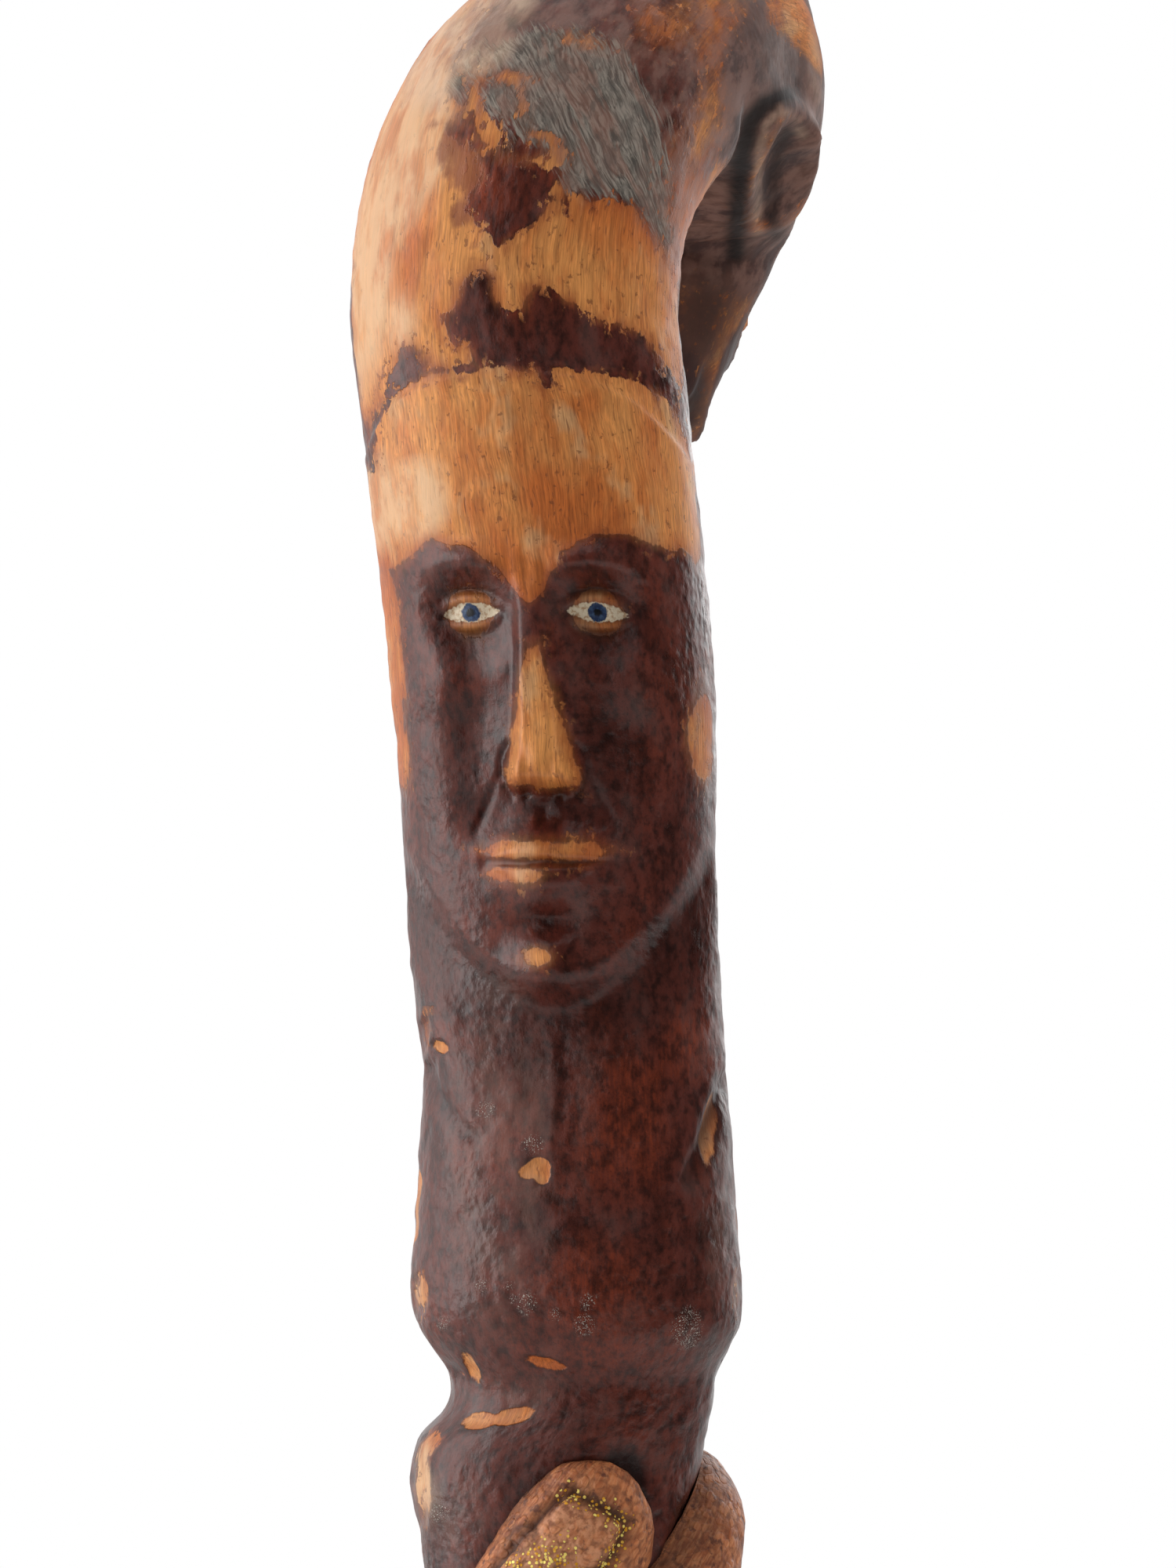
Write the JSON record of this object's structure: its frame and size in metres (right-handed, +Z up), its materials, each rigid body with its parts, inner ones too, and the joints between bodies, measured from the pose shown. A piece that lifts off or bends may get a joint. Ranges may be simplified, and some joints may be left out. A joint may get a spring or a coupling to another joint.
{
  "type": "walking stick",
  "caption": "Crook-handled wooden walking stick carved with a head at each end of the grip and a snake coiled round the shaft, with a pegged lower shank and a metal ferrule.",
  "frame": {"origin": "centre of the stud's flat foot, where the stick stands on the ground", "axes": "+Z up the shaft, +Y the way the crook handle reaches, -Y the side that the lower carved face looks to (turned 11 degrees towards +X)"},
  "size_m": [0.0505, 0.118, 0.9136],
  "materials": {
    "carved_wood": "glossy dark stain worn through to bare amber wood, black painted hair",
    "snake_paint": "copper-brown paint over carved scales, gold glitter",
    "shank_wood": "dark red-brown stain, satin, worn on the high places",
    "peg_wood": "bare end grain, oiled",
    "ferrule_brass": "dulled and scuffed",
    "stud_steel": "ground by walking",
    "nail_brass": "hammered heads, dull"
  },
  "bodies": {
    "root": {"head_section": "carved_wood", "snake": "snake_paint", "lower_shank": "shank_wood", "joint_peg": "peg_wood", "ferrule": "ferrule_brass", "ferrule_stud": "stud_steel", "ferrule_nail_left": "nail_brass", "ferrule_nail_right": "nail_brass"}
  },
  "joints": []
}
